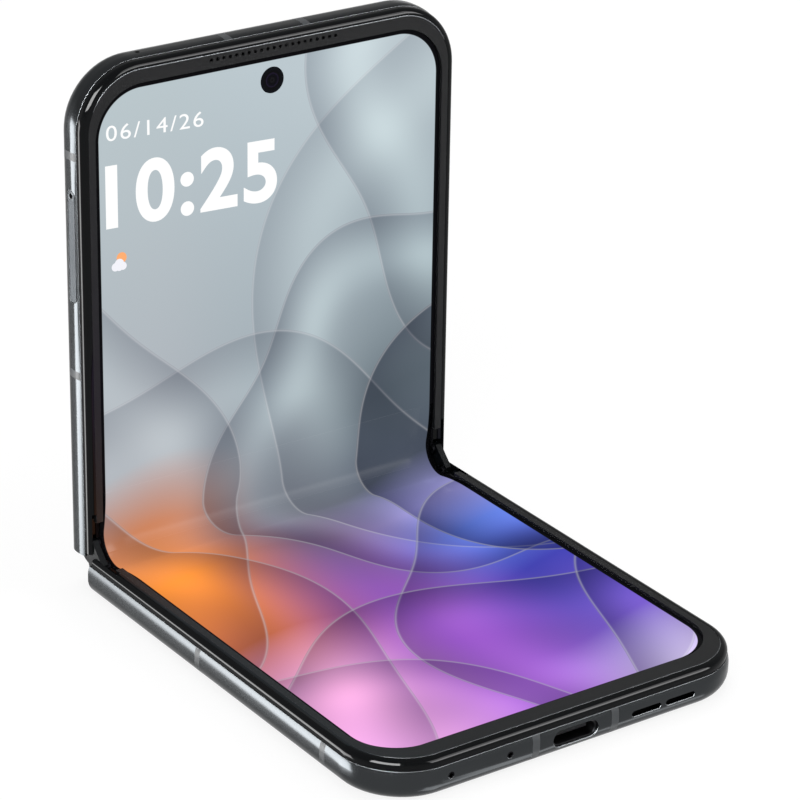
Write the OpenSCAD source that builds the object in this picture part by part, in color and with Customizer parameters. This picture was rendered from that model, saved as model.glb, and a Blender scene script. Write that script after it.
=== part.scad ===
/* [Overall size] */
// Width of the body across the fold
body_w = 74; // [70:0.5:78]
// Length of each half from the fold line to its outer end
half_l = 85.8; // [82:0.1:90]
// Thickness of each half from its back face to the top of its raised rim
body_t = 7.25; // [7:0.05:8]
// Radius of the two outer corners of each half, seen from above
corner_r = 11.5; // [9:0.1:13]
// Angle between the two halves as the phone stands
open_angle = 91.1; // [85:0.1:95]

/* [Metal frame] */
// Radius of the rounding between the side rail and the back face
back_r = 3.05; // [2.7:0.05:3.2]
// Height at which the rail starts to lean inwards
crown_z = 4; // [3.6:0.05:4.3]
// Radius of the upper part of the rail
crown_r = 3.65; // [3:0.05:6]
// Height of the seam between the rail and the glossy rim
seam_z = 5.45; // [5.2:0.05:5.6]
// Wall thickness of the rail
rail_wall = 1.7; // [1.5:0.05:2]
// Thickness of the rail's skin beside the fold
skin_wall = 0.75; // [0.6:0.05:0.8]
// Thickness of the metal floor behind the fold
floor_t = 0.85; // [0.7:0.05:0.95]
// Thickness of the web that carries the display
web_t = 0.6; // [0.4:0.05:0.7]
// Thickness of the covers on the back
cover_t = 0.75; // [0.6:0.05:0.85]
// Width of each aerial break in the rail
band_w = 1.4; // [0.8:0.1:2]

/* [Display and rims] */
// Distance between the lit part of the display and the side of the body
side_border = 3.8; // [3.6:0.1:5]
// Distance between the lit part and the body's end on the upper half
upper_border = 4.8; // [4.5:0.1:6]
// Distance between the lit part and the body's end on the lower half
lower_border = 5.75; // [5:0.05:7]
// Width of the black border round the lit part
border_w = 0.9; // [0.6:0.05:1]
// Depth of the display's surface below the rim
display_sink = 0.6; // [0.5:0.05:0.7]
// Thickness of the folding display panel
panel_t = 0.35; // [0.3:0.05:0.4]
// Thickness of the thin plate under the display
plate_t = 0.15; // [0.1:0.05:0.2]
// Width of the glossy rim
gloss_w = 1.15; // [1:0.05:1.2]
// Corner radius of the lit part
active_r = 8; // [6:0.1:9]

/* [Fold] */
// Half the distance between the two fold axes
pivot_y = 2.18; // [2.1:0.01:2.3]
// Height of the fold axes above the back face
pivot_z = 5.75; // [5.65:0.01:5.85]
// Radius of the fold pins
pin_r = 0.4; // [0.3:0.05:0.5]
// Radial clearance of every shaft in its bore
fit = 0.03; // [0.02:0.01:0.06]
// Depth of the spine's back face below the back of the opened halves
spine_sink = 1.1; // [1.05:0.05:1.2]
// Wall thickness of the spine
spine_wall = 0.5; // [0.4:0.05:0.6]
// Gap between the two halves when they lie flat
seam_gap = 0.3; // [0.2:0.05:0.4]
// Length on each side of the fold over which the display bends
bend_l = 11.5; // [11.3:0.1:12]
// How far the display turns past each half's plane before it turns back
overbend = 12; // [10:0.5:15]

/* [Synchronising gears] */
// Number of teeth that a whole arm gear would have
arm_teeth = 10; // [8:2:12]
// Pitch radius of the arm gears
arm_gear_r = 1; // [0.95:0.01:1.05]
// Number of teeth of each idler gear
idler_teeth = 14; // [12:2:14]
// Width of the gears
gear_w = 2; // [1.5:0.1:2.5]
// Distance of the gears from the side of the body
gear_in = 12; // [10:0.5:15]

/* [Ports and keys] */
// Height of the ports and holes in the ends
port_z = 3.3; // [3:0.05:3.4]
// Width of the charging socket's mouth
usb_w = 8.9; // [8.7:0.1:9.2]
// Height of the charging socket's mouth
usb_h = 3; // [2.8:0.05:3.2]
// Length of the card tray's lid
tray_l = 19.5; // [17:0.1:21]
// Distance of the middle of the card tray from the upper half's outer end
tray_in = 30.55; // [28:0.05:33]
// Length of the volume key
volume_l = 18; // [15:0.5:20]
// Distance of the middle of the volume key from the upper half's outer end
volume_in = 26.3; // [25:0.1:28]
// Length of the power key
power_l = 12; // [9:0.5:14]
// Gap between the two side keys
key_gap = 2.5; // [2:0.1:4]
// Height of the side keys and of the tray's lid
key_h = 2; // [1.6:0.1:2]
// Height of the middle of the side keys and the tray
key_z = 4; // [3.9:0.05:4.1]
// How far the side keys stand out of the rail
key_proud = 0.4; // [0.3:0.05:0.6]
// Travel of the side keys
key_travel = 0.25; // [0.15:0.05:0.3]
// Diameter of the front camera's window in the display
selfie_d = 4.6; // [3.6:0.1:5]
// Diameter of the main rear camera's ring
main_ring_d = 13; // [11:0.1:14]
// Diameter of the wide rear camera's ring
wide_ring_d = 11.4; // [10:0.1:12]
// How far the rear camera rings stand out of the cover glass
ring_proud = 0.9; // [0.6:0.05:1.2]
// Distance of the rear cameras from the upper half's outer end
camera_in = 12.6; // [11.5:0.1:14]

/* [Inside] */
// Distance between the batteries and the side of the body
battery_side = 7; // [6.5:0.1:9]
// Distance of the lower battery from the lower half's outer end
lower_battery_in = 24.8; // [23:0.1:28]
// Distance of the upper battery from the upper half's outer end
upper_battery_in = 42.8; // [40:0.1:46]
// Radius of the charging coil
coil_r = 18; // [15:0.5:20]

/* [Hidden] */
$fn = 64;

half_w = body_w / 2;
gear_x = half_w - gear_in;
eps = 0.01;
slack = 0.1;

// Heights of the layers inside each half
display_z = body_t - display_sink;
panel_z = display_z - panel_t;
plate_z = panel_z - plate_t;
web_top = plate_z - 0.05;
web_z = web_top - web_t;
inner_z = cover_t + 0.1;

// Each half folds by the same angle about its own axis
fold_each = (180 - open_angle) / 2;
end_s = seam_gap / 2;

// The hinge's gears: an arm gear about each fold axis drives an idler, and the two idlers mesh
idler_r = arm_gear_r * idler_teeth / arm_teeth;
tooth_m = 2 * arm_gear_r / arm_teeth;
mesh_angle = acos((pivot_y - idler_r) / (arm_gear_r + idler_r));
idler_z = pivot_z - (arm_gear_r + idler_r) * sin(mesh_angle);

// Where the parts beside the fold end
cavity_l = 8.2;
web_start = 10.7;
strip_end = 6.6;
shelf_start = 3.9;

// The lugs of the halves lie between the display's edge and the spine's end caps
lug_x = half_w - 2.75;
lug_w = 0.5;
lug_r = 0.95;
cap_x = lug_x + lug_w + slack;
spine_r = pivot_z - floor_t - 0.1;

// Half width of the display opening in the bezel, and the glossy rim's place across the rail
open_x = half_w - side_border + border_w;
gloss_d = 0.32;
gloss_in = gloss_d + gloss_w + 0.15;

//--- Placing: each half is drawn with its fold line at y = 0 and its outer end at y = half_l

module place_lower() {
    translate([0, half_l / 2, 0]) mirror([0, 1, 0]) children();
}

module place_spine() {
    translate([0, half_l / 2 - pivot_y, pivot_z]) rotate([fold_each, 0, 0])
        translate([0, pivot_y, -pivot_z]) children();
}

module place_upper() {
    place_spine() translate([0, pivot_y, pivot_z]) rotate([fold_each, 0, 0])
        translate([0, -pivot_y, -pivot_z]) children();
}

//--- Outlines

// Extrudes a section, drawn as distance inwards from the rail (negative x) and height, round the three
// outer sides of a half, starting at distance start from the fold line
module sweep_round(start) {
    straight = half_l - corner_r - start;
    for (side = [0, 1]) mirror([side, 0, 0]) {
        translate([half_w, half_l - corner_r, 0]) rotate([90, 0, 0]) linear_extrude(straight) children();
        translate([half_w - corner_r, half_l - corner_r, 0])
            rotate_extrude(angle = 90) translate([corner_r, 0]) children();
    }
    translate([-(half_w - corner_r), half_l, 0]) rotate([0, 0, 90]) rotate([90, 0, 0])
        linear_extrude(body_w - 2 * corner_r) children();
}

// Extrudes a section along both sides only, between two distances from the fold line
module sweep_sides(start, stop) {
    for (side = [0, 1]) mirror([side, 0, 0])
        translate([half_w, stop, 0]) rotate([90, 0, 0]) linear_extrude(stop - start) children();
}

// The half's outline moved inwards by inset, from start to its outer end
module plan(inset, start, end_inset, radius) {
    w = half_w - inset;
    l = half_l - end_inset;
    translate([-w, start]) square([2 * w, l - radius - start]);
    translate([-w + radius, start]) square([2 * (w - radius), l - start]);
    for (side = [-1, 1]) translate([side * (w - radius), l - radius]) circle(radius);
}

module plate(inset, start, z, t) {
    translate([0, 0, z]) linear_extrude(t) plan(inset, start, inset, corner_r - inset);
}

// Section of the rail's outside: a rounded back edge, an upright side and a crowned top
module rail_outline(grow = 0) {
    depth = 4.4;
    translate([-back_r, back_r]) circle(back_r - grow);
    translate([-depth, grow]) square([depth - back_r, back_r]);
    translate([-depth, back_r]) square([depth - grow, crown_z - back_r]);
    intersection() {
        translate([-crown_r, crown_z]) circle(crown_r - grow);
        translate([-depth, crown_z]) square([depth, body_t]);
    }
}

module rail_section() {
    difference() {
        intersection() {
            rail_outline();
            translate([-back_r - 0.05, 0]) square([back_r + 0.05, seam_z]);
        }
        translate([-back_r - 1, floor_t]) square([back_r + 1 - rail_wall, body_t]);
    }
    translate([-rail_wall - 0.4, seam_z - 0.3]) square([0.8, 0.3]);
    translate([-rail_wall - 0.4, seam_z - 0.3]) square([rail_wall + 0.38 - gloss_in, web_top - seam_z + 0.3]);
}

module skin_section() {
    difference() {
        intersection() {
            rail_outline();
            translate([-back_r - 0.05, 0]) square([back_r + 0.05, seam_z]);
        }
        difference() {
            union() {
                rail_outline(skin_wall);
                translate([-back_r, back_r]) square([back_r - skin_wall, body_t]);
            }
            translate([-back_r - 2, 0]) square([back_r + 2, floor_t]);
            translate([-back_r - 2, seam_z + 1]) square([back_r + 2, body_t]);
        }
    }
}

module gloss_section(inner) {
    difference() {
        union() {
            translate([-gloss_in, seam_z]) square([gloss_in - gloss_d, body_t - gloss_w - seam_z]);
            intersection() {
                translate([-gloss_d - gloss_w, body_t - gloss_w]) circle(gloss_w);
                translate([-gloss_in, body_t - gloss_w]) square([gloss_in, gloss_w]);
            }
            translate([-gloss_in, body_t - gloss_w]) square([0.15, gloss_w]);
        }
        translate([-half_w, 0]) square([half_w - inner, 2 * body_t]);
    }
}

//--- The rail with its web, ports and lugs

// The blocks in which the aerial breaks lie: two across the side rails and two across the end
module band_blocks(low_s, high_s, end_x) {
    for (s = [low_s, high_s]) for (side = [0, 1]) mirror([side, 0, 0])
        translate([half_w - rail_wall, s - band_w / 2, -1]) cube([rail_wall + 1, band_w, seam_z + 3]);
    for (side = [0, 1]) mirror([side, 0, 0])
        translate([end_x - band_w / 2, half_l - rail_wall, -1]) cube([band_w, rail_wall + 1, seam_z + 3]);
}

module antenna_bands(low_s, high_s, end_x) {
    intersection() {
        sweep_round(cavity_l) rail_section();
        band_blocks(low_s, high_s, end_x);
    }
}

// A lug beside the display carries the fold pin's bore
module hinge_lugs() {
    for (side = [-1, 1]) translate([side * (lug_x + lug_w / 2) - lug_w / 2, 0, 0]) difference() {
        union() {
            translate([0, pivot_y, pivot_z]) rotate([0, 90, 0]) cylinder(r = lug_r, h = lug_w);
            translate([0, pivot_y, pivot_z - lug_r])
                cube([lug_w, web_start + 1 - pivot_y, lug_r + 0.1]);
        }
        translate([-1, pivot_y, pivot_z]) rotate([0, 90, 0]) cylinder(r = pin_r + fit, h = lug_w + 2);
    }
}

module frame_half(low_s, high_s, end_x) {
    difference() {
        union() {
            sweep_round(cavity_l) rail_section();
            sweep_sides(end_s, cavity_l + eps) skin_section();
        }
        band_blocks(low_s, high_s, end_x);
    }
    difference() {
        translate([-half_w + back_r, end_s, 0])
            cube([body_w - 2 * back_r, cavity_l - end_s, floor_t]);
        translate([-half_w + cover_in, cavity_l - 0.6, -1])
            cube([body_w - 2 * cover_in, 3, 1 + floor_t / 2]);
    }
    difference() {
        plate(rail_wall, web_start, web_z, web_t);
        for (x = screw_xs) translate([x, screw_s, web_z - 1]) cylinder(r = screw_r + 0.05, h = web_t + 2);
    }
    hinge_lugs();
}

// A round-ended slot cut through the end of a half
module end_slot(x, z, w, h, depth) {
    translate([x, half_l + 1, z]) rotate([90, 0, 0]) linear_extrude(depth + 1) {
        square([w - h, h], center = true);
        for (side = [-1, 1]) translate([side * (w - h) / 2, 0]) circle(h / 2);
    }
}

module end_hole(x, z, r) {
    translate([x, half_l + 1, z]) rotate([90, 0, 0]) cylinder(r = r, h = rail_wall + 2);
}

// A round-ended pocket in the side of a half; side is -1 or 1
module side_slot(side, s, z, l, h, depth) {
    translate([side * (half_w + 1), s, z]) rotate([0, -side * 90, 0]) linear_extrude(depth + 1) {
        square([h, l - h], center = true);
        for (end = [-1, 1]) translate([0, end * (l - h) / 2]) circle(h / 2);
    }
}

//--- Lower half

lower_low_s = 34.2;
lower_high_s = half_l - 15.9;
end_band_x = 7.75;
mic_xs = [13 - half_w, 24.2 - half_w];
mic_hole_r = 0.4;
mic_z = port_z + 0.3;
slot_w = 5.95;
slot_xs = [half_w - 22.95, half_w - 22 + slot_w];
slot_h = 1.1;

module lower_frame() color([0.23, 0.25, 0.27]) place_lower() difference() {
    frame_half(lower_low_s, lower_high_s, end_band_x);
    end_slot(0, port_z, usb_w, usb_h, rail_wall + 1);
    for (x = slot_xs) end_slot(x, port_z, slot_w, slot_h, rail_wall + 1);
    for (x = mic_xs) end_hole(x, mic_z, mic_hole_r);
}

module lower_antenna_bands() color([0.3, 0.31, 0.32])
    place_lower() antenna_bands(lower_low_s, lower_high_s, end_band_x);

// The glossy rim, with a sunk shelf beside the display next to the fold
module gloss_rim() {
    sweep_round(cavity_l) gloss_section(gloss_in);
    sweep_sides(end_s + 0.7, cavity_l + eps) gloss_section(skin_wall + slack);
    sweep_sides(shelf_start, cavity_l + eps)
        polygon([[cap_x - 0.05 - half_w, 5.2], [-skin_wall - slack - 0.3, 5.2], [-skin_wall - slack, 5.55],
            [-skin_wall - slack, 6.2], [-1.2, 5.85], [cap_x - 0.05 - half_w, 5.75]]);
}

module bezel(end_border) {
    difference() {
        translate([0, 0, plate_z]) linear_extrude(body_t - plate_z - 0.03) difference() {
            plan(gloss_in + 0.02, strip_end, gloss_in + 0.02, corner_r - gloss_in);
            plan(half_w - open_x, strip_end - 1, end_border - border_w, active_r + border_w);
        }
        translate([-half_w, strip_end - 1, plate_z - 1]) cube([body_w, web_start - strip_end + 1, 1]);
    }
}

module display_flat(end_border) {
    translate([0, 0, panel_z]) linear_extrude(panel_t)
        plan(half_w - open_x + 0.05, bend_l + 0.01, end_border - border_w + 0.05, active_r + border_w);
}

module lower_gloss_rim() color([0.02, 0.02, 0.03]) place_lower() gloss_rim();
module lower_bezel() color([0.2, 0.2, 0.2]) place_lower() bezel(lower_border);
module lower_display() color([0.55, 0.4, 0.8]) place_lower() display_flat(lower_border);

cover_in = back_r + 0.1;
selfie_in = 8.2;

// A cover on the back between two distances from the fold; a thin lip of it laps over the metal floor
module back_plate(start, stop) {
    difference() {
        plate(cover_in, start, 0, cover_t);
        translate([-half_w, stop, -1]) cube([body_w, half_l, 5]);
        translate([-half_w, 0, floor_t / 2 - 0.02]) cube([body_w, cavity_l + 0.05, 5]);
    }
}

module support_plate(end_border) {
    translate([0, 0, plate_z]) linear_extrude(plate_t) difference() {
        plan(half_w - open_x + 0.3, bend_l + 0.01, end_border - border_w + 0.3, active_r);
        translate([0, half_l - selfie_in]) circle(selfie_d / 2 + 0.6);
    }
}
module lower_support_plate() color([0.6, 0.6, 0.6]) place_lower() support_plate(lower_border);

module lower_back_panel() color([0.16, 0.17, 0.19]) place_lower()
    back_plate(cavity_l - 0.55, half_l - cover_in);

battery_start = 17;
lower_battery_s = [battery_start, half_l - lower_battery_in];
battery_w = body_w - 2 * battery_side;
module battery(s) {
    translate([-battery_w / 2, s[0], inner_z + 0.35]) cube([battery_w, s[1] - s[0], web_z - 0.45 - inner_z]);
}
module lower_battery() color([0.1, 0.1, 0.1]) place_lower() battery(lower_battery_s);

module charging_coil() color([0.7, 0.4, 0.2]) place_lower()
    translate([0, (lower_battery_s[0] + lower_battery_s[1]) / 2, cover_t + 0.02]) difference() {
        cylinder(r = coil_r, h = 0.3);
        translate([0, 0, -1]) cylinder(r = coil_r / 2, h = 2.3);
    }

board_t = 0.8;
board_z = web_z - board_t - 0.2;
port_d = 6.5;
end_in = half_l - rail_wall;
charging_board_s = lower_battery_s[1] + 1;
module charging_board() color([0.1, 0.3, 0.15]) place_lower()
    translate([0, 0, board_z]) linear_extrude(board_t) difference() {
        translate([6 - half_w, charging_board_s])
            square([half_w - 7 + slot_xs[0] - slot_w / 2 - 0.6, end_in - 3.2 - charging_board_s]);
        translate([-usb_w / 2 - 0.7, end_in - 7.5]) square([usb_w + 1.4, 9]);
    }

usb_wall = 0.3;
module usb_shape(w, h, depth, from_end) {
    translate([0, half_l - from_end, port_z]) rotate([90, 0, 0]) linear_extrude(depth) {
        square([w - h, h], center = true);
        for (side = [-1, 1]) translate([side * (w - h) / 2, 0]) circle(h / 2);
    }
}
module usb_port() color([0.6, 0.6, 0.62]) place_lower() difference() {
    usb_shape(usb_w - 0.1, usb_h - 0.1, port_d, 0.6);
    usb_shape(usb_w - 0.1 - 2 * usb_wall, usb_h - 0.1 - 2 * usb_wall, port_d - 0.6, 0.5);
}
module usb_tongue() color([0.1, 0.1, 0.1]) place_lower()
    translate([-3.35, half_l - port_d + 0.1, port_z - 0.35]) cube([6.7, port_d - 1.9, 0.7]);

speaker_s0 = lower_battery_s[1] + 3;
speaker_x = slot_xs[0] - slot_w / 2 - 0.6;
module loudspeaker() color([0.15, 0.15, 0.15]) place_lower() translate([speaker_x, speaker_s0, inner_z])
    cube([half_w - 8.5 - speaker_x, end_in - 0.9 - speaker_s0, web_z - 0.1 - inner_z]);
module speaker_mesh() color([0.3, 0.3, 0.3]) place_lower()
    for (x = slot_xs) translate([x - slot_w / 2 - 0.3, end_in - 0.55, port_z - slot_h / 2 - 0.3])
        cube([slot_w + 0.6, 0.25, slot_h + 0.6]);
module haptic_motor() color([0.7, 0.7, 0.72]) place_lower()
    translate([9.5 - half_w, charging_board_s + 5, inner_z]) cube([9, 9, board_z - 0.1 - inner_z]);
module lower_microphones() color([0.75, 0.7, 0.5]) place_lower()
    for (x = mic_xs) translate([x - 1.4, end_in - 2.9, port_z - 0.5]) cube([2.8, 2.4, 1.1]);

//--- The fold: arms with gear sectors, idlers, blocks and the spine

screw_xs = [-gear_x - 3.4, -gear_x + 3.4, gear_x - 3.4, gear_x + 3.4];
screw_s = 13.3;
screw_r = 0.45;
arm_top = 5.35;
foot_t = 0.7;

// One gear tooth about the origin, pointing along x
module tooth(r, n) {
    root = r - 1.3 * tooth_m;
    tip = r + 0.7 * tooth_m;
    wide = 90 / n * 1.15;
    slim = 90 / n * 0.4;
    polygon([[root * cos(wide), -root * sin(wide)], [tip * cos(slim), -tip * sin(slim)],
        [tip * cos(slim), tip * sin(slim)], [root * cos(wide), root * sin(wide)]]);
}

// A whole gear with a tooth centred on the angle given
module gear_outline(r, n, phase) {
    circle(r - 1.25 * tooth_m);
    for (k = [0 : n - 1]) rotate(phase + 360 / n * k) tooth(r, n);
}

// An arm seen from its side, with x away from the fold: its gear sector faces the fold and dips clear
// of the bent display, and its foot lies under the web
module arm_outline(shift) {
    intersection() {
        translate([pivot_y, pivot_z]) {
            circle(arm_gear_r - 1.25 * tooth_m);
            for (k = [0 : 2 + 2 * shift]) rotate(mesh_angle - 180 + (shift - k * 2) * 180 / arm_teeth)
                tooth(arm_gear_r, arm_teeth);
        }
        polygon([[0, 3.5], [0, 6], [1.2, 5.92], [1.95, 5.58], [2.65, 5.38], [3.5, arm_top], [3.5, 3.5]]);
    }
    polygon([[pivot_y, pivot_z - 0.25], [2.6, pivot_z - 0.38], [3, arm_top - 0.05], [9, arm_top - 0.05],
        [9.2, web_z], [15.5, web_z], [15.5, web_z - foot_t], [9.5, web_z - foot_t], [9.1, 4.65],
        [2.75, 4.65], [pivot_y, pivot_z - 0.7]]);
}

module hinge_arms(shift) {
    difference() {
        for (side = [-1, 1]) translate([side * gear_x, 0, 0]) {
            rotate([90, 0, 90]) translate([0, 0, -gear_w / 2 + 0.05])
                linear_extrude(gear_w - 0.1) arm_outline(shift);
            translate([-5, 10.9, web_z - foot_t]) cube([10, 4.6, foot_t]);
        }
        for (x = screw_xs) translate([x, screw_s, 0]) cylinder(r = screw_r + 0.05, h = body_t);
    }
}

module hinge_screws() {
    for (x = screw_xs) translate([x, screw_s, web_z - foot_t]) {
        cylinder(r = screw_r, h = foot_t + web_t - 0.05);
        translate([0, 0, -0.45]) cylinder(r = 0.8, h = 0.45);
    }
}

module magnets() {
    for (side = [0, 1]) mirror([side, 0, 0])
        translate([half_w - battery_side + 0.6, battery_start + 5, 3.4]) cube([2.4, 8, web_z - 3.4]);
}

module lower_hinge_arms() color([0.65, 0.66, 0.68]) place_lower() hinge_arms(0);
module lower_screws() color([0.5, 0.5, 0.5]) place_lower() hinge_screws();
module lower_magnets() color([0.75, 0.75, 0.78]) place_lower() magnets();

// Extrudes a section, drawn as y and z, along x
module along_x(from, length) {
    translate([from, 0, 0]) rotate([90, 0, 90]) linear_extrude(length) children();
}

// The spine's section: a flat back with rounded flanks that stay on an arc about each fold axis
module spine_outline(inset) {
    wide = pivot_y + spine_r * cos(20);
    top = pivot_z - (spine_r - 0.25) * sin(20);
    low = spine_sink + inset;
    intersection() {
        union() {
            for (side = [-1, 1]) translate([side * pivot_y, pivot_z]) circle(spine_r - inset);
            translate([-pivot_y, 0]) square([2 * pivot_y, pivot_z]);
        }
        translate([-wide, low]) square([2 * wide, top - low + inset * 2]);
    }
}

module spine_cover() color([0.3, 0.32, 0.34]) place_spine() difference() {
    along_x(-lug_x, 2 * lug_x) difference() {
        spine_outline(0);
        spine_outline(spine_wall);
    }
}

// The largest shape that turns freely inside the halves' side walls: a round about a fold axis
module cap_round() {
    round_r = back_r - skin_wall - 0.15;
    translate([0, pivot_y, pivot_z]) rotate([0, 90, 0]) rotate_extrude() intersection() {
        union() {
            square([pivot_z - back_r, half_w - skin_wall - 0.2]);
            translate([pivot_z - back_r, half_w - back_r]) circle(round_r);
        }
        square([half_w, half_w - skin_wall - 0.25]);
    }
}

module cap_outline() {
    polygon([[0, 7], [2.3, 7], [3.1, 6.2], [3.1, 5.2], [4.6, 4], [4.6, 2.6], [3.7, spine_sink + spine_wall],
        [0, spine_sink + spine_wall]]);
}

module spine_end_caps() color([0.12, 0.12, 0.13]) place_spine() for (end = [0, 1]) mirror([end, 0, 0]) {
    difference() {
        union() {
            for (side = [0, 1]) mirror([0, side, 0]) intersection() {
                cap_round();
                along_x(cap_x, half_w - cap_x) cap_outline();
            }
            along_x(cap_x - 1.3, 1.4) intersection() {
                for (side = [0, 1]) mirror([side, 0]) cap_outline();
                translate([-3.6, 0]) square([7.2, 4.3]);
            }
        }
        for (side = [-1, 1]) along_x(cap_x - 1, 1.9) translate([side * pivot_y, pivot_z]) circle(pin_r);
    }
}

module hinge_pins() color([0.8, 0.8, 0.82]) place_spine()
    for (end = [0, 1]) mirror([end, 0, 0]) for (side = [-1, 1])
        along_x(lug_x + 0.05, cap_x + 0.9 - lug_x - 0.05) translate([side * pivot_y, pivot_z]) circle(pin_r);

shaft_r = 0.35;
block_w = 1.4;
block_out = gear_w / 2 + 0.2;
module hinge_blocks() color([0.5, 0.5, 0.52]) place_spine()
    for (end = [-1, 1]) for (side = [-1, 1])
        along_x(end * gear_x + side * (block_out + block_w / 2) - block_w / 2, block_w) difference() {
            polygon([[-3.1, spine_sink + spine_wall], [3.1, spine_sink + spine_wall], [3.1, 3.6], [2.3, 4.4],
                [-2.3, 4.4], [-3.1, 3.6]]);
            for (y = [-idler_r, idler_r]) translate([y, idler_z]) circle(shaft_r);
        }

module gear_shafts() color([0.8, 0.8, 0.82]) place_spine()
    for (end = [-1, 1]) for (y = [-idler_r, idler_r])
        along_x(end * gear_x - block_out - block_w, 2 * (block_out + block_w))
            translate([y, idler_z]) circle(shaft_r);

// Both idlers turn with the fold; turn is how far they have turned since the halves lay flat
idler_turn = fold_each * arm_teeth / idler_teeth;
idler_phase = 180 - mesh_angle + 180 / idler_teeth;
module idlers(side, phase, turn) {
    for (end = [-1, 1]) along_x(end * gear_x - gear_w / 2, gear_w) translate([side * idler_r, idler_z])
        rotate(turn) difference() {
            gear_outline(idler_r, idler_teeth, phase);
            circle(shaft_r + fit);
        }
}
module sync_gear_lower() color([0.8, 0.65, 0.3]) place_spine() idlers(-1, idler_phase, idler_turn);
module sync_gear_upper() color([0.8, 0.65, 0.3]) place_spine()
    idlers(1, 180 - idler_phase + 180 / idler_teeth, -idler_turn);

//--- The bent part of the display, in the spine's frame

fold_z = pivot_z + (display_z - pivot_z) / cos(fold_each) - pivot_y * tan(fold_each);
fold_s = pivot_y - (pivot_y - (display_z - pivot_z) * sin(fold_each)) / cos(fold_each);
bend_run = bend_l - fold_s;
turn_all = fold_each + overbend;
rad = PI / 180;
bend_in = sin(turn_all) - sin(fold_each);
det = sin(turn_all) * overbend * rad - bend_in * turn_all * rad;
bend_r = (bend_run * cos(fold_each) * overbend * rad - bend_in * bend_run) / det;
back_bend_r = (sin(turn_all) * bend_run - turn_all * rad * bend_run * cos(fold_each)) / det;
bend_low = fold_z + bend_run * sin(fold_each) - bend_r * (1 - cos(turn_all))
    - back_bend_r * (cos(fold_each) - cos(turn_all));
bend_end = [bend_r * sin(turn_all), bend_low + bend_r * (1 - cos(turn_all))];
back_centre = bend_end + back_bend_r * [sin(turn_all), -cos(turn_all)];
function bend_line(d) = concat(
    [for (k = [0 : 16]) let (a = turn_all * k / 16)
        [(bend_r + d) * sin(a), bend_low + bend_r - (bend_r + d) * cos(a)]],
    [for (k = [1 : 6]) let (a = turn_all - overbend * k / 6)
        back_centre + (back_bend_r - d) * [-sin(a), cos(a)]]);
function mirrored(line) = [for (k = [len(line) - 1 : -1 : 1]) [-line[k][0], line[k][1]]];
function whole(line) = concat(mirrored(line), line);
function reversed(line) = [for (k = [len(line) - 1 : -1 : 0]) line[k]];
module display_fold() color([0.6, 0.65, 0.7]) place_spine()
    along_x(-open_x + 0.05, 2 * open_x - 0.1)
        polygon(concat(whole(bend_line(0)), reversed(whole(bend_line(panel_t)))));

//--- Upper half

tray_s = half_l - tray_in;
tray_pin_in = 1;
volume_s = half_l - volume_in;
power_s = volume_s - (volume_l + power_l) / 2 - key_gap;
upper_low_s = power_s - power_l / 2 - 3.2;
upper_high_s = half_l - 15;
upper_band_x = 7.65;
upper_mic_x = 13.1 - half_w;
glass_start = 22;
camera_s = half_l - camera_in;
main_x = half_w - 13;
wide_x = main_x - (main_ring_d + wide_ring_d) / 2 - 3.8;
flash_x = wide_x - wide_ring_d / 2 - 5.7;
hear_s = half_l - 2.5;
hear_pitch = 1.214;

module upper_frame() color([0.23, 0.25, 0.27]) place_upper() difference() {
    frame_half(upper_low_s, upper_high_s, upper_band_x);
    end_hole(upper_mic_x, mic_z, mic_hole_r);
    translate([-10.5 * hear_pitch, hear_s - 0.35, web_z - 0.5]) cube([21 * hear_pitch, 0.7, 2]);
    translate([0, half_l - selfie_in, web_z - 1]) cylinder(r = selfie_d / 2 + 0.1, h = web_t + 2);
    side_slot(-1, tray_s, key_z, tray_l + 0.12, key_h + 0.12, rail_wall + 1);
    side_slot(1, power_s, key_z, power_l + 0.12, key_h + 0.12, rail_wall + 1);
    side_slot(1, volume_s, key_z, volume_l + 0.12, key_h + 0.12, rail_wall + 1);
}
module upper_antenna_bands() color([0.3, 0.31, 0.32])
    place_upper() antenna_bands(upper_low_s, upper_high_s, upper_band_x);
module upper_gloss_rim() color([0.02, 0.02, 0.03]) place_upper() gloss_rim();
module upper_bezel() color([0.2, 0.2, 0.2]) place_upper() difference() {
    bezel(upper_border);
    for (k = [-10 : 10]) translate([k * hear_pitch, hear_s, web_top - 1]) cylinder(r = 0.32, h = 3, $fn = 24);
}
module upper_display() color([0.7, 0.75, 0.8]) place_upper() difference() {
    display_flat(upper_border);
    translate([0, half_l - selfie_in, 0]) cylinder(r = selfie_d / 2, h = 2 * body_t);
}
module upper_support_plate() color([0.6, 0.6, 0.6]) place_upper() support_plate(upper_border);

module upper_back_strip() color([0.16, 0.17, 0.19]) place_upper()
    back_plate(cavity_l - 0.55, glass_start - 0.1);

module cover_glass() color([0.03, 0.03, 0.04]) place_upper() difference() {
    back_plate(glass_start, half_l - cover_in);
    for (c = [[main_x, main_ring_d], [wide_x, wide_ring_d], [flash_x, 3]])
        translate([c[0], camera_s, -1]) cylinder(r = c[1] / 2, h = 4);
}
cover_display_l = camera_s - main_ring_d / 2 - glass_start - 4;
module cover_display() color([0.1, 0.15, 0.2]) place_upper()
    translate([5.5 - half_w, glass_start + 2.5, cover_t + 0.02]) cube([body_w - 11, cover_display_l, 0.35]);

upper_battery_s = [battery_start, half_l - upper_battery_in];
module upper_battery() color([0.1, 0.1, 0.1]) place_upper() battery(upper_battery_s);

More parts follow.
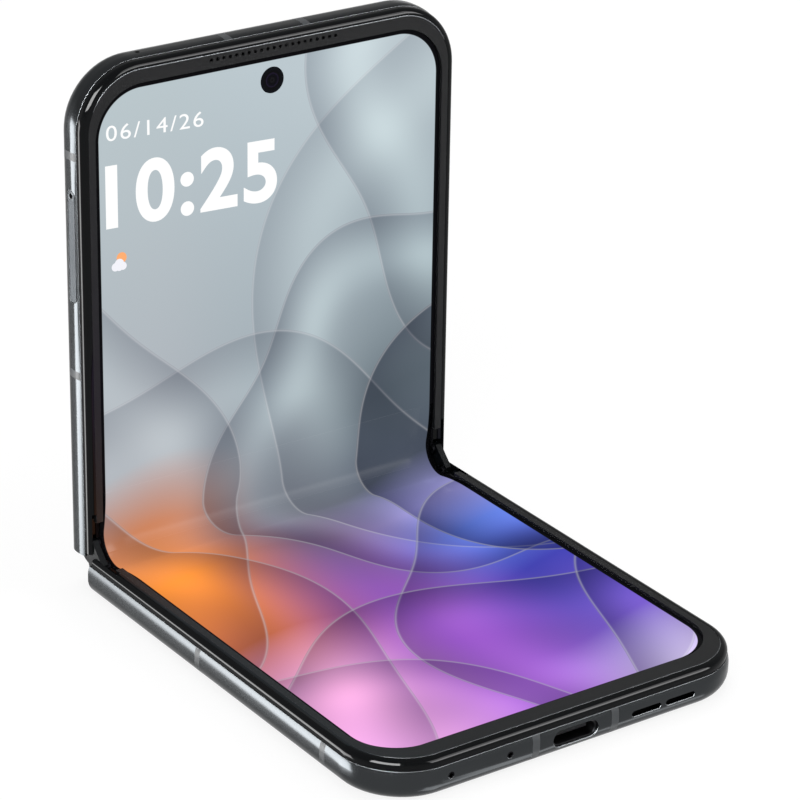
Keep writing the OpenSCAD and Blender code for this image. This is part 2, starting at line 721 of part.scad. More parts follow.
board_s = [upper_battery_s[1] + 1, camera_s - 7.2];
module main_board() color([0.1, 0.3, 0.15]) place_upper() {
    translate([3.6 - half_w, board_s[0], board_z]) cube([body_w - 8, board_s[1] - board_s[0], board_t]);
    translate([-14, board_s[1] - 1, board_z]) cube([10.5, 10, board_t]);
}
module board_shields() color([0.7, 0.7, 0.72]) place_upper() {
    translate([-12, board_s[0] + 2, board_z - 1.6]) cube([18, 17, 1.6]);
    translate([9, board_s[0] + 2, board_z - 1.6]) cube([half_w - 17, 17, 1.6]);
}

module selfie_camera() color([0.05, 0.05, 0.06]) place_upper() translate([0, half_l - selfie_in, 0]) {
    translate([0, 0, web_z - 0.2]) cylinder(r = selfie_d / 2 - 0.04, h = display_z - web_z + 0.18);
    translate([-2.7, -2.7, 2.8]) cube([5.4, 5.4, web_z - 2.9]);
}

module camera(x, w, top) {
    translate([x - w / 2, camera_s - w / 2, cover_t + 0.3]) cube([w, w, top - cover_t - 0.3]);
    translate([x, camera_s, cover_t - 0.2]) cylinder(r = w * 0.36, h = 0.6);
}
module main_camera() color([0.15, 0.15, 0.16]) place_upper() camera(main_x, main_ring_d - 2.4, web_z - 0.05);
module wide_camera() color([0.15, 0.15, 0.16]) place_upper() camera(wide_x, wide_ring_d - 2.4, web_z - 0.4);

// A ring in the cover glass, its rounded edge standing out of the back
module camera_ring(x, d) {
    translate([x, camera_s, 0]) rotate_extrude() {
        translate([d / 2 - 1.2, -ring_proud + 0.4]) square([1.17, ring_proud + cover_t - 0.4]);
        translate([d / 2 - 1.2, -ring_proud]) square([0.8, 0.5]);
        translate([d / 2 - 0.43, -ring_proud + 0.4]) circle(0.4);
    }
}
module camera_rings() color([0.55, 0.56, 0.58]) place_upper() {
    camera_ring(main_x, main_ring_d);
    camera_ring(wide_x, wide_ring_d);
}
module camera_lenses() color([0.02, 0.02, 0.05]) place_upper()
    for (c = [[main_x, main_ring_d], [wide_x, wide_ring_d]])
        translate([c[0], camera_s, -ring_proud + 0.15]) cylinder(r = c[1] / 2 - 1.2, h = 0.5);
module flash_led() color([0.95, 0.9, 0.7]) place_upper()
    translate([flash_x, camera_s, 0]) cylinder(r = 1.45, h = cover_t + 0.4);

module earpiece() color([0.15, 0.15, 0.15]) place_upper()
    translate([-10.7 * hear_pitch, half_l - 4, 3.4]) cube([21.4 * hear_pitch, 1.8, web_z - 3.5]);
module upper_microphone() color([0.75, 0.7, 0.5]) place_upper()
    translate([upper_mic_x - 1.4, end_in - 2.9, mic_z - 0.55]) cube([2.8, 2.6, 1.1]);

// The tray's reader is a flat shell open towards the slot, hung under the main board
module sim_reader() color([0.7, 0.7, 0.72]) place_upper() difference() {
    translate([2.8 - half_w, tray_s - tray_l / 2 + 0.75, key_z - 0.75])
        cube([19.4, tray_l - 1.9, board_z - key_z + 0.75]);
    translate([2 - half_w, tray_s - tray_l / 2 + 1.15, key_z - 0.45]) cube([19.8, tray_l - 2.7, 0.8]);
}
// The keys press a thin strip of switches behind the rail
module key_flex() color([0.7, 0.5, 0.2]) place_upper()
    translate([half_w - rail_wall - 0.65 - key_travel - 0.35, power_s - 6, key_z - 0.8])
        cube([0.25, volume_s + 8 - power_s + 6, 1.7]);

module upper_hinge_arms() color([0.65, 0.66, 0.68]) place_upper() hinge_arms(1);
module upper_screws() color([0.5, 0.5, 0.5]) place_upper() hinge_screws();
module upper_magnets() color([0.75, 0.75, 0.78]) place_upper() magnets();

//--- Pieces that move in the upper half's sides

// A round-ended bar that fills a side slot from depth in to depth out, measured from the rail's outside
module side_bar(side, s, l, h, out, in) {
    translate([side * (half_w + out), s, key_z]) rotate([0, -side * 90, 0]) linear_extrude(out + in) {
        square([h, l - h], center = true);
        for (end = [-1, 1]) translate([0, end * (l - h) / 2]) circle(h / 2);
    }
}

module sim_tray() color([0.24, 0.26, 0.28]) place_upper() {
    difference() {
        side_bar(-1, tray_s, tray_l, key_h, -0.02, rail_wall - 0.1);
        translate([-half_w - 1, tray_s + tray_l / 2 - tray_pin_in, key_z]) rotate([0, 90, 0])
            cylinder(r = 0.4, h = rail_wall + 3, $fn = 24);
    }
    difference() {
        translate([1 - half_w, tray_s - tray_l / 2 + 1.35, key_z - 0.3]) cube([20.2, tray_l - 3.5, 0.6]);
        translate([4.4 - half_w, tray_s - tray_l / 2 + 3.15, key_z - 1]) cube([15, 12.3, 2]);
    }
}

// A flange behind the rail keeps each key in its slot
module key_flange(s, l, below) {
    translate([half_w - rail_wall - 0.65, s - l / 2, key_z - below]) cube([0.6, l, below + 1]);
}
module power_button() color([0.26, 0.28, 0.3]) place_upper() {
    side_bar(1, power_s, power_l, key_h, key_proud, rail_wall + 0.2);
    key_flange(power_s, power_l + 1.2, 0.95);
}
module volume_rocker() color([0.26, 0.28, 0.3]) place_upper() {
    side_bar(1, volume_s, volume_l, key_h, key_proud, rail_wall + 0.2);
    key_flange(volume_s, 4, 1.4);
}

lower_frame();
lower_antenna_bands();
lower_gloss_rim();
lower_bezel();
lower_display();
lower_support_plate();
lower_back_panel();
lower_battery();
charging_board();
usb_port();
usb_tongue();
loudspeaker();
speaker_mesh();
haptic_motor();
lower_microphones();
charging_coil();
lower_hinge_arms();
lower_screws();
lower_magnets();
spine_cover();
spine_end_caps();
hinge_blocks();
hinge_pins();
gear_shafts();
display_fold();
sync_gear_lower();
sync_gear_upper();
upper_frame();
upper_antenna_bands();
upper_gloss_rim();
upper_bezel();
upper_display();
upper_support_plate();
cover_glass();
cover_display();
upper_back_strip();
upper_battery();
main_board();
board_shields();
selfie_camera();
main_camera();
wide_camera();
camera_rings();
camera_lenses();
flash_led();
earpiece();
upper_microphone();
sim_reader();
key_flex();
upper_hinge_arms();
upper_screws();
upper_magnets();
sim_tray();
power_button();
volume_rocker();
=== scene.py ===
import math

import bpy
import numpy as np
from mathutils import Matrix, Vector


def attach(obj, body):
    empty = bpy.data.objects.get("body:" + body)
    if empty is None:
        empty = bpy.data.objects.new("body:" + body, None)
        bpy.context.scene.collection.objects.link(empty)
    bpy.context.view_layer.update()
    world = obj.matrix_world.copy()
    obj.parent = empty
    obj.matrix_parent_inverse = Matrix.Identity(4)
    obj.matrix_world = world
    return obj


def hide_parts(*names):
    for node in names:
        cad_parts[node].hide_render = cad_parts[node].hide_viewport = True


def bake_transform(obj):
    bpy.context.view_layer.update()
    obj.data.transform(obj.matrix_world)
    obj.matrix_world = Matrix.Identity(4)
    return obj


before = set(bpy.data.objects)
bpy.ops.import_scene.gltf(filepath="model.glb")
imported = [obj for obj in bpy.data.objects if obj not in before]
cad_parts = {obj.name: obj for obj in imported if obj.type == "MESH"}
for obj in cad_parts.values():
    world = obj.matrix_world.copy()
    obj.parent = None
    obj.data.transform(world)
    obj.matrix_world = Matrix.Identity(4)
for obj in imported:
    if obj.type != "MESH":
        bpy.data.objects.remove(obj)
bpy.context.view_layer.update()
print("frame loaded with", len(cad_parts), "nodes")

mm = 0.001
scene = bpy.context.scene
scene.view_settings.view_transform = "Standard"

# where the three bodies of the fold stand, in millimetres: every half turns about its own pivot line
fold = {
    "openAngle": 91.1,      # between the two screen halves
    "pivotS": 2.18,         # pivot line from the fold, along a half
    "pivotZ": 5.75,         # pivot line above a half's back
    "lowerY": 40.72,        # the lower pivot line in the row frame
    "screenZ": 6.65,        # lit face above a half's back
    "bendRun": 11.5,        # bent length each side of the fold
    "overbend": 12.0,       # how far the bend turns past the half's own slope
    "panel": 0.35,          # thickness of the bent sheet
    "halfWidth": 34.05,
    "steps": 72,
    "columns": 13,
    "middleY": 42.9,        # the fold line in the row frame
    "uvUnit": 100,          # millimetres to one unit of the screen's own map
}
phi = math.radians((180 - fold["openAngle"]) / 2)


# a turn about a line along X: y and z about the centre given
def turned(y, z, angle, centre, to):
    dy, dz = y - centre[0], z - centre[1]
    c, s = math.cos(angle), math.sin(angle)
    return to[0] + dy * c - dz * s, to[1] + dy * s + dz * c


# spine frame to row frame: half the fold's turn about the lower pivot line
def fromSpine(y, z):
    return turned(y, z, phi, (-fold["pivotS"], fold["pivotZ"]), (fold["lowerY"], fold["pivotZ"]))


upperPivot = fromSpine(fold["pivotS"], fold["pivotZ"])


# the upper half's own run s and height z to the row frame: the whole turn about its pivot line
def fromUpper(s, z):
    return turned(s, z, 2 * phi, (fold["pivotS"], fold["pivotZ"]), upperPivot)


# a number socket that can stand in a sum: each operator adds its Math node
class Term:
    def __init__(self, shade, socket):
        self.shade, self.socket = shade, socket

    def __neg__(self):
        return self.shade.math("MULTIPLY", self, -1)


operators = {"add": "ADD", "sub": "SUBTRACT", "mul": "MULTIPLY", "truediv": "DIVIDE", "pow": "POWER"}
for word, kind in operators.items():
    setattr(Term, f"__{word}__", lambda a, b, k=kind: a.shade.math(k, a, b))
    setattr(Term, f"__r{word}__", lambda a, b, k=kind: a.shade.math(k, b, a))


# a share of a colour
def scaled(colour, share):
    return tuple(c * share for c in colour)


# the node tree of a new material, or of a world
class Shade:
    def __init__(self, name, kind=bpy.data.materials):
        self.owner = kind.new(name)
        self.owner.use_nodes = True
        self.tree = self.owner.node_tree
        self.tree.nodes.clear()

    # any node: its type, its settings, then what its sockets get
    def node(self, kind, settings=None, inputs=None):
        made = self.tree.nodes.new(kind)
        for key, value in (settings or {}).items():
            if key == "stops":
                ramp = made.color_ramp
                while len(ramp.elements) < len(value):
                    ramp.elements.new(0.5)
                for element, (place, colour) in zip(ramp.elements, value):
                    element.position = place
                    element.color = (*colour, 1.0)
            else:
                setattr(made, key, value)
        for key, value in (inputs or {}).items():
            socket = made.inputs[key]
            value = value.socket if isinstance(value, Term) else value
            if isinstance(value, bpy.types.NodeSocket):
                self.tree.links.new(value, socket)
            elif socket.type == "RGBA" and len(value) == 3:
                socket.default_value = (*value, 1.0)
            else:
                socket.default_value = value
        return made

    def math(self, operation, *values):
        made = self.node("ShaderNodeMath", {"operation": operation}, dict(enumerate(values)))
        return Term(self, made.outputs[0])

    # 0 below low and 1 above high, smooth between
    def step(self, value, low, high):
        inputs = {0: value, 1: low, 2: high, 3: 0.0, 4: 1.0}
        made = self.node("ShaderNodeMapRange", {"interpolation_type": "SMOOTHSTEP"}, inputs)
        return Term(self, made.outputs[0])

    def mix(self, factor, first, second, kind="MIX"):
        inputs = {0: factor, 6: first, 7: second}
        return self.node("ShaderNodeMix", {"data_type": "RGBA", "blend_type": kind}, inputs).outputs[2]

    # one colour, from a darker to a lighter share of itself
    def tint(self, factor, base, low, high):
        return self.mix(factor, scaled(base, low), scaled(base, high))

    def ramp(self, value, stops):
        return self.node("ShaderNodeValToRGB", {"stops": stops}, {0: value}).outputs[0]

    # the piece's own coordinates in millimetres
    def place(self):
        raw = self.node("ShaderNodeTexCoord").outputs["Object"]
        return self.node("ShaderNodeVectorMath", {"operation": "SCALE"}, {0: raw, 3: 1000.0}).outputs[0]

    def split(self, vector):
        made = self.node("ShaderNodeSeparateXYZ", {}, {0: vector})
        return [Term(self, made.outputs[k]) for k in range(3)]

    def noise(self, vector, scale, detail, rough=0.5):
        inputs = {"Vector": vector, "Scale": scale, "Detail": detail, "Roughness": rough}
        return Term(self, self.node("ShaderNodeTexNoise", {}, inputs).outputs[0])

    # how far the spot lies from a centre
    def away(self, centre):
        inputs = {0: self.place(), 1: centre}
        made = self.node("ShaderNodeVectorMath", {"operation": "DISTANCE"}, inputs)
        return Term(self, made.outputs["Value"])

    # distance from the border between two cells
    def cells(self, vector, scale):
        inputs = {"Vector": vector, "Scale": scale}
        made = self.node("ShaderNodeTexVoronoi", {"feature": "DISTANCE_TO_EDGE"}, inputs)
        return Term(self, made.outputs["Distance"])

    def bump(self, height, distance, strength):
        inputs = {"Height": height, "Distance": distance, "Strength": strength}
        return self.node("ShaderNodeBump", {}, inputs).outputs[0]

    # the finished surface: constants go straight on the shader's own sockets
    def surface(self, values):
        made = self.node("ShaderNodeBsdfPrincipled", {}, values)
        self.node("ShaderNodeOutputMaterial", {}, {"Surface": made.outputs[0]})
        return self.owner


# each veil: how far it reaches from its centre, the slow wave of its edge (height, count, start), how dark
# it lies behind its edge, how strongly it gleams further in, and how deep both go; all in millimetres
ridges = [
    {"centre": (66, 26), "reach": 70, "wave": (3.0, 5, 0.4), "dark": 0.30, "gleam": 0.25, "deep": 20},
    {"centre": (70, 74), "reach": 60, "wave": (4.0, 6, 2.2), "dark": 0.42, "gleam": 0.40, "deep": 18},
    {"centre": (34, 6), "reach": 45, "wave": (3.0, 6, 1.6), "dark": 0.50, "gleam": 0.45, "deep": 15},
    {"centre": (-14, -30), "reach": 62, "wave": (3.0, 6, 0.0), "dark": 0.36, "gleam": 0.30, "deep": 20},
    {"centre": (60, -4), "reach": 44, "wave": (2.4, 5, 1.4), "dark": 0.80, "gleam": 0.10, "deep": 26},
    {"centre": (-64, 2), "reach": 55, "wave": (3.4, 5, 0.8), "dark": 0.42, "gleam": 0.30, "deep": 18},
    {"centre": (50, -66), "reach": 58, "wave": (3.0, 6, 2.8), "dark": 0.60, "gleam": 0.35, "deep": 22},
    {"centre": (-76, -40), "reach": 66, "wave": (2.2, 6, 0.2), "dark": 0.50, "gleam": 0.45, "deep": 20},
    {"centre": (6, -116), "reach": 76, "wave": (3.4, 7, 1.9), "dark": 0.55, "gleam": 0.35, "deep": 20},
    {"centre": (80, -92), "reach": 66, "wave": (2.6, 6, 0.6), "dark": 0.62, "gleam": 0.60, "deep": 18},
    {"centre": (-46, -106), "reach": 58, "wave": (2.2, 6, 2.4), "dark": 0.42, "gleam": 0.30, "deep": 16},
]
picture = {
    "length": 162,                      # the three colour runs go once up the screen
    "sway": (0.11, 0.6, 3.0),           # their slow sideways wave: rate, start, height
    "leftBlend": (-26.0, 0.0),
    "rightBlend": (0.0, 25.0),
    "shadow": (0.20, 0.21, 0.28),       # a veil's dark side multiplies by this
    "shadowFall": 1.6,
    "sheen": (1.9, 1.9, 1.8),           # and its gleam by this
    "sheenAt": 0.55,
    "sheenFocus": 9.0,
    "edgeSoft": 0.16,
    "edgeIn": 0.3,
    "edgeWidth": 0.20,                  # fine bright line on each edge
    "edgeGlow": 0.20,
    "edgeColour": (0.95, 0.96, 1.0),
    "litHalfWidth": 33.2,
    "litUpper": 81.0,
    "litLower": 80.05,
    "litRound": 8.0,
    "litSoft": 0.05,
    "left": [(0.0, (0.78, 0.36, 0.74)), (0.15, (0.76, 0.34, 0.60)), (0.25, (0.50, 0.13, 0.06)),
             (0.40, (0.86, 0.26, 0.035)), (0.50, (0.66, 0.25, 0.12)), (0.58, (0.42, 0.45, 0.49)),
             (1.0, (0.49, 0.57, 0.60))],
    "middle": [(0.0, (0.40, 0.15, 0.68)), (0.16, (0.34, 0.10, 0.62)), (0.30, (0.28, 0.10, 0.46)),
               (0.42, (0.17, 0.11, 0.21)), (0.51, (0.20, 0.22, 0.26)), (0.64, (0.36, 0.42, 0.46)),
               (1.0, (0.50, 0.58, 0.62))],
    "right": [(0.0, (0.66, 0.56, 0.88)), (0.10, (0.16, 0.09, 0.52)), (0.24, (0.05, 0.05, 0.44)),
              (0.35, (0.14, 0.24, 0.84)), (0.42, (0.38, 0.36, 0.78)), (0.50, (0.09, 0.11, 0.15)),
              (0.60, (0.14, 0.18, 0.21)), (0.74, (0.34, 0.41, 0.45)), (1.0, (0.52, 0.60, 0.64))],
}


# three colour runs up the screen, blended from left to right, under translucent veils: behind its wavy edge
# each veil darkens what lies below it, gleams a little further in, and carries a thin bright line on the
# edge; u is across and v along the screen from the fold
def wallpaper(shade, u, v):
    p = picture
    rate, start, height = p["sway"]
    up = (v + shade.math("SINE", u * rate + start) * height) / p["length"] + 0.5
    left, middle, right = [shade.ramp(up, p[side]) for side in ("left", "middle", "right")]
    colour = shade.mix(shade.step(u, *p["leftBlend"]), left, middle)
    colour = shade.mix(shade.step(u, *p["rightBlend"]), colour, right)
    for ridge in ridges:
        (across, along), (tall, count, start) = ridge["centre"], ridge["wave"]
        x, y = u - across, v - along
        far = shade.math("SQRT", x * x + y * y)
        turn = shade.math("ARCTAN2", y, x)
        depth = ridge["reach"] - far + shade.math("SINE", turn * count + start) * tall
        inside = shade.step(depth, 0.0, p["edgeSoft"])
        share = shade.math("MAXIMUM", depth, 0.0) / ridge["deep"]
        falling = shade.math("EXPONENT", share * -p["shadowFall"])
        colour = shade.mix(inside * falling * ridge["dark"], colour, p["shadow"], "MULTIPLY")
        off = share - p["sheenAt"]
        sheen = shade.math("EXPONENT", -(off * off) * p["sheenFocus"])
        colour = shade.mix(inside * sheen * ridge["gleam"], colour, p["sheen"], "MULTIPLY")
        off = depth - p["edgeIn"]
        line = shade.math("EXPONENT", -(off * off) / (p["edgeWidth"] ** 2))
        colour = shade.mix(line * p["edgeGlow"], colour, p["edgeColour"], "SCREEN")
    return colour


# 1 inside the lit rounded field, 0 on the black border
def litField(shade, u, v):
    r = picture["litRound"]
    sideways = shade.math("ABSOLUTE", u) - (picture["litHalfWidth"] - r)
    endways = shade.math("MAXIMUM", v - (picture["litUpper"] - r), -v - (picture["litLower"] - r))
    aside, beyond = [shade.math("MAXIMUM", way, 0.0) for way in (sideways, endways)]
    outside = shade.math("SQRT", aside ** 2 + beyond ** 2)
    gap = outside + shade.math("MINIMUM", shade.math("MAXIMUM", sideways, endways), 0.0) - r
    return 1 - shade.step(gap, -picture["litSoft"], picture["litSoft"])


# dark glass that shines with the wallpaper inside its lit field
def screenMaterial(name, place, level=0.02, rough=0.08):
    shade = Shade(name)
    u, v = place(shade)
    colour = shade.mix(litField(shade, u, v), (0.0, 0.0, 0.0), wallpaper(shade, u, v))
    fine = shade.noise(shade.place(), 9.0, 2.0)
    return shade.surface({"Base Color": (0.004, 0.004, 0.005), "Roughness": fine * 0.03 + rough,
                          "Specular IOR Level": level, "Emission Color": colour, "Emission Strength": 1.0})


# where a spot of each stretch lies on the screen: across it, and along it from the fold
def lowerPlace(shade):
    x, y, z = shade.split(shade.place())
    return x, y - fold["middleY"]


# the upper stretch is laid back by the fold's whole turn
def upperPlace(shade):
    x, y, z = shade.split(shade.place())
    along = (y - upperPivot[0]) * math.cos(2 * phi) + (z - upperPivot[1]) * math.sin(2 * phi)
    return x, along + fold["pivotS"]


# the bent stretches carry their own map
def ownPlace(shade):
    raw = shade.node("ShaderNodeUVMap", {"uv_map": "screen"}).outputs[0]
    u, v, w = shade.split(raw)
    return u * fold["uvUnit"], v * fold["uvUnit"]


# the bent line: two arcs that meet with one tangent, where the first turns past the half's slope about the
# fold and the second turns back to it
def bendLine(offset):
    f = fold
    high, over = f["screenZ"] - f["pivotZ"], math.radians(f["overbend"])
    startZ = f["pivotZ"] + high / math.cos(phi) - f["pivotS"] * math.tan(phi)
    startS = f["pivotS"] - (f["pivotS"] - high * math.sin(phi)) / math.cos(phi)
    run, total = f["bendRun"] - startS, phi + over
    rise = math.sin(total) - math.sin(phi)
    det = math.sin(total) * over - rise * total
    r = (run * math.cos(phi) * over - rise * run) / det
    back = (math.sin(total) * run - total * run * math.cos(phi)) / det
    low = startZ + run * math.sin(phi) - r * (1 - math.cos(total)) - back * (math.cos(phi) - math.cos(total))
    far = np.linspace(0, run, f["steps"])
    first = np.minimum(far / r, total)
    second = np.maximum(far - r * total, 0) / back
    y = r * np.sin(first) + back * (np.sin(total) - np.sin(total - second))
    z = low + r * (1 - np.cos(first)) + back * (np.cos(total - second) - np.cos(total))
    slope = first - second
    return y + offset * np.sin(slope), z - offset * np.cos(slope), far


# the bent sheet as a closed band: its upper line forwards, its lower line back, carried across the width
def foldSheet(name, side):
    topY, topZ, far = bendLine(0)
    lowY, lowZ, far = bendLine(fold["panel"])
    y = np.concatenate([topY, lowY[::-1]]) * side
    z = np.concatenate([topZ, lowZ[::-1]])
    v = np.concatenate([far, far[::-1]]) * side
    placeY, placeZ = fromSpine(y, z)
    columns, ring = fold["columns"], len(y)
    x = np.linspace(-fold["halfWidth"], fold["halfWidth"], columns)
    points = np.stack([np.repeat(x, ring), np.tile(placeY, columns), np.tile(placeZ, columns)], 1) * mm
    i, j = np.meshgrid(np.arange(columns - 1), np.arange(ring), indexing="ij")
    a, b = i * ring + j, i * ring + (j + 1) % ring
    faces = np.stack([a, b, b + ring, a + ring], -1).reshape(-1, 4)
    k = np.arange(fold["steps"] - 1)
    lid = np.stack([k, k + 1, ring - 2 - k, ring - 1 - k], 1)
    faces = np.concatenate([faces, lid[:, ::-1], lid + (columns - 1) * ring])
    faces = faces if side > 0 else faces[:, ::-1]
    mesh = bpy.data.meshes.new(name)
    mesh.from_pydata(points, [], faces.tolist())
    uv = np.stack([np.repeat(x, ring), np.tile(v, columns)], 1) / fold["uvUnit"]
    corners = np.empty(len(mesh.loops), np.int32)
    mesh.loops.foreach_get("vertex_index", corners)
    mesh.uv_layers.new(name="screen").data.foreach_set("uv", uv[corners].astype(np.float32).ravel())
    mesh.polygons.foreach_set("use_smooth", np.ones(len(mesh.polygons), bool))
    sheet = bpy.data.objects.new(name, mesh)
    scene.collection.objects.link(sheet)
    return sheet


print("bending the screen")
foldMaterial = screenMaterial("screenFold", ownPlace, 0.04, 0.24)
foldLower, foldUpper = foldSheet("screenFoldLower", -1), foldSheet("screenFoldUpper", 1)
for sheet in (foldLower, foldUpper):
    sheet.data.materials.append(foldMaterial)


# a point of the spine's own frame, in metres of the row frame
def spinePoint(y, z):
    return Vector((0, *fromSpine(y, z))) * mm


spinePoint(-10.8, 47.4)
spinePoint(-4.4, 48.1)
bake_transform(foldLower)
spinePoint(4.4, 48.1)
spinePoint(10.8, 47.4)
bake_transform(foldUpper)
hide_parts("display_fold")
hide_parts("display_fold")

finish = {
    "graphite": {"colour": (0.064, 0.069, 0.073), "rough": 0.17},
    "blackGloss": {"colour": (0.0016, 0.002, 0.0024), "rough": 0.05},
    "mattePlastic": {"colour": (0.007, 0.0073, 0.0078), "rough": 0.42},
}
# painted shade inside the fold: a round region about a line along X, between the rails, darker and duller
paintedFoldShade = {"y": 38.0, "z": 12.0, "reach": 8.0, "soft": 0.5, "halfWidth": 35.1, "sideSoft": 0.2,
             "colour": (0.005, 0.005, 0.006), "dull": 0.4}


# satin bead-blasted metal: a fine grain in height and roughness and a faint cloud in its colour, with
# painted shade inside the fold
def graphite(name="graphite", base=None, rough=None):
    base, rough = base or finish["graphite"]["colour"], rough or finish["graphite"]["rough"]
    shade = Shade(name)
    spot = shade.place()
    grain, cloud = shade.noise(spot, 7.0, 3.0), shade.noise(spot, 0.12, 2.0)
    colour = shade.tint(cloud, base, 0.9, 1.1)
    f = paintedFoldShade
    x, y, z = shade.split(spot)
    far = shade.math("SQRT", (y - f["y"]) ** 2 + (z - f["z"]) ** 2)
    outwards = shade.math("ABSOLUTE", x)
    foldShade = 1 - shade.step(far, f["reach"], f["reach"] + f["soft"])
    foldShade = foldShade * (1 - shade.step(outwards, f["halfWidth"], f["halfWidth"] + f["sideSoft"]))
    # painted shade: the colour inside the fold made darker
    colour = shade.mix(foldShade, colour, f["colour"])
    roughness = rough - 0.04 + grain * 0.05 + cloud * 0.03 + foldShade * f["dull"]
    return shade.surface({"Base Color": colour, "Metallic": 1.0, "Roughness": roughness,
                          "Normal": shade.bump(grain, 0.000002, 0.4)})


# smooth lacquer with a very slight orange peel
def blackGloss(name="blackGloss", base=None, rough=None, level=0.17):
    base, rough = base or finish["blackGloss"]["colour"], rough or finish["blackGloss"]["rough"]
    shade = Shade(name)
    spot = shade.place()
    peel, smear = shade.noise(spot, 0.8, 1.0), shade.noise(spot, 0.15, 3.0)
    return shade.surface({"Base Color": shade.tint(smear, base, 1.0, 1.3), "Roughness": rough + smear * 0.02,
                          "Specular IOR Level": level, "Normal": shade.bump(peel, 0.000006, 0.4)})


# moulded plastic with a fine spark-eroded texture
def mattePlastic(name="mattePlastic", base=None, rough=None, grainSize=5.0, level=0.2):
    base, rough = base or finish["mattePlastic"]["colour"], rough or finish["mattePlastic"]["rough"]
    shade = Shade(name)
    spot = shade.place()
    grain, cloud = shade.noise(spot, grainSize, 4.0, 0.6), shade.noise(spot, 0.2, 2.0)
    roughness = rough - 0.05 + grain * 0.1
    return shade.surface({"Base Color": shade.tint(cloud, base, 0.88, 1.12), "Roughness": roughness,
                          "Specular IOR Level": level, "Normal": shade.bump(grain, 0.00001, 0.5)})


# leather-like back: rounded pebbles of two sizes parted by fine creases, the creases duller and painted
# darker as shade
def pebbled(name, base):
    shade = Shade(name)
    spot = shade.place()
    warp = shade.node("ShaderNodeTexNoise", {}, {"Vector": spot, "Scale": 0.9, "Detail": 2.0}).outputs[1]
    inputs = {0: warp, 1: (0.9, 0.9, 0.9), 2: spot}
    bent = shade.node("ShaderNodeVectorMath", {"operation": "MULTIPLY_ADD"}, inputs).outputs[0]
    large, small = shade.cells(bent, 1.15), shade.cells(bent, 2.6)
    height = shade.step(large, 0.0, 0.16) * 0.75 + shade.step(small, 0.0, 0.2) * 0.25
    cloud = shade.noise(spot, 0.1, 2.0)
    # painted shade: the creases darker in colour, over a faint cloud of tone
    colour = shade.tint(height * 0.8 + cloud * 0.2, base, 0.55, 1.15)
    return shade.surface({"Base Color": colour, "Roughness": 0.72 - height * 0.16, "Specular IOR Level": 0.4,
                          "Normal": shade.bump(height, 0.00006, 0.8)})


# clean machined metal: long fine lines along one way and small blotches
def machined(name, base, rough, stretch=(9.0, 0.6, 9.0)):
    shade = Shade(name)
    spot = shade.place()
    drawn = shade.node("ShaderNodeVectorMath", {"operation": "MULTIPLY"}, {0: spot, 1: stretch}).outputs[0]
    lines, blotch = shade.noise(drawn, 1.0, 3.0), shade.noise(spot, 0.5, 2.0)
    roughness = rough - 0.06 + lines * 0.08 + blotch * 0.06
    return shade.surface({"Base Color": shade.tint(lines, base, 0.85, 1.15), "Metallic": 1.0,
                          "Roughness": roughness, "Normal": shade.bump(lines, 0.000004, 0.4)})


# crinkled foil pouch: straight creases over a soft cloud, the creases painted darker as shade
def foil(name, base):
    shade = Shade(name)
    spot = shade.place()
    crease, cloud = shade.cells(spot, 0.28), shade.noise(spot, 0.2, 4.0)
    height = shade.step(crease, 0.0, 0.1) * 0.5 + cloud * 0.5
    # painted shade: the creases darker in colour; the cloud is a random tone
    return shade.surface({"Base Color": shade.tint(height, base, 0.7, 1.2), "Roughness": 0.32 + cloud * 0.15,
                          "Normal": shade.bump(height, 0.00008, 0.5)})


# circuit board: square-cell copper runs under a green mask
def boardMask(name, base):
    shade = Shade(name)
    inputs = {"Vector": shade.place(), "Scale": 0.55, "Randomness": 0.7}
    made = shade.node("ShaderNodeTexVoronoi", {"distance": "CHEBYCHEV"}, inputs)
    rings = shade.math("SINE", Term(shade, made.outputs["Distance"]) * 26)
    runs = shade.step(rings, 0.35, 0.5)
    return shade.surface({"Base Color": shade.tint(runs, base, 0.7, 1.5), "Roughness": 0.4 - runs * 0.08,
                          "Normal": shade.bump(runs, 0.00002, 0.5)})


# woven mesh: two crossing sets of wires, the low parts of the weave painted near black as shade
def wovenMesh(name, base):
    shade = Shade(name)
    x, y, z = shade.split(shade.place())
    over = shade.math("SINE", (x + z) * 21) * shade.math("SINE", (y - z) * 21)
    height = over * 0.5 + 0.5
    # painted shade: the low parts of the weave near black
    colour = shade.mix(shade.step(height, 0.3, 0.6), (0.004, 0.004, 0.005), base)
    return shade.surface({"Base Color": colour, "Metallic": 0.8, "Roughness": 0.42 - height * 0.08,
                          "Normal": shade.bump(height, 0.00005, 0.8)})


# turned rings: fine circles about a centre given in millimetres of the row frame
def turnedRings(name, base, rough, centre):
    shade = Shade(name)
    circles = shade.math("SINE", shade.away(centre) * 24) * 0.5 + 0.5
    return shade.surface({"Base Color": shade.tint(circles, base, 0.85, 1.1), "Metallic": 1.0,
                          "Roughness": rough + circles * 0.06, "Normal": shade.bump(circles, 0.000005, 0.5)})


# coated lens glass: dark, with a faint colour that shifts from the middle outwards
lensRings = [(0.0, (0.002, 0.002, 0.004)), (0.12, (0.02, 0.02, 0.026)), (0.2, (0.003, 0.003, 0.006)),
             (0.35, (0.006, 0.005, 0.016)), (0.42, (0.03, 0.02, 0.06)), (0.47, (0.004, 0.004, 0.006)),
             (0.8, (0.006, 0.009, 0.016)), (1.0, (0.01, 0.01, 0.012))]


def lensGlass(name, centre, level=0.6, reach=6.0, dim=1.0):
    shade = Shade(name)
    colour = shade.ramp(shade.away(centre) / reach, [(at, scaled(tint, dim)) for at, tint in lensRings])
    roughness = 0.04 + shade.noise(shade.place(), 0.3, 1.0) * 0.02
    return shade.surface({"Base Color": colour, "Roughness": roughness, "Specular IOR Level": level})


print("finishing the surfaces")
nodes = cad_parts
coated = set()


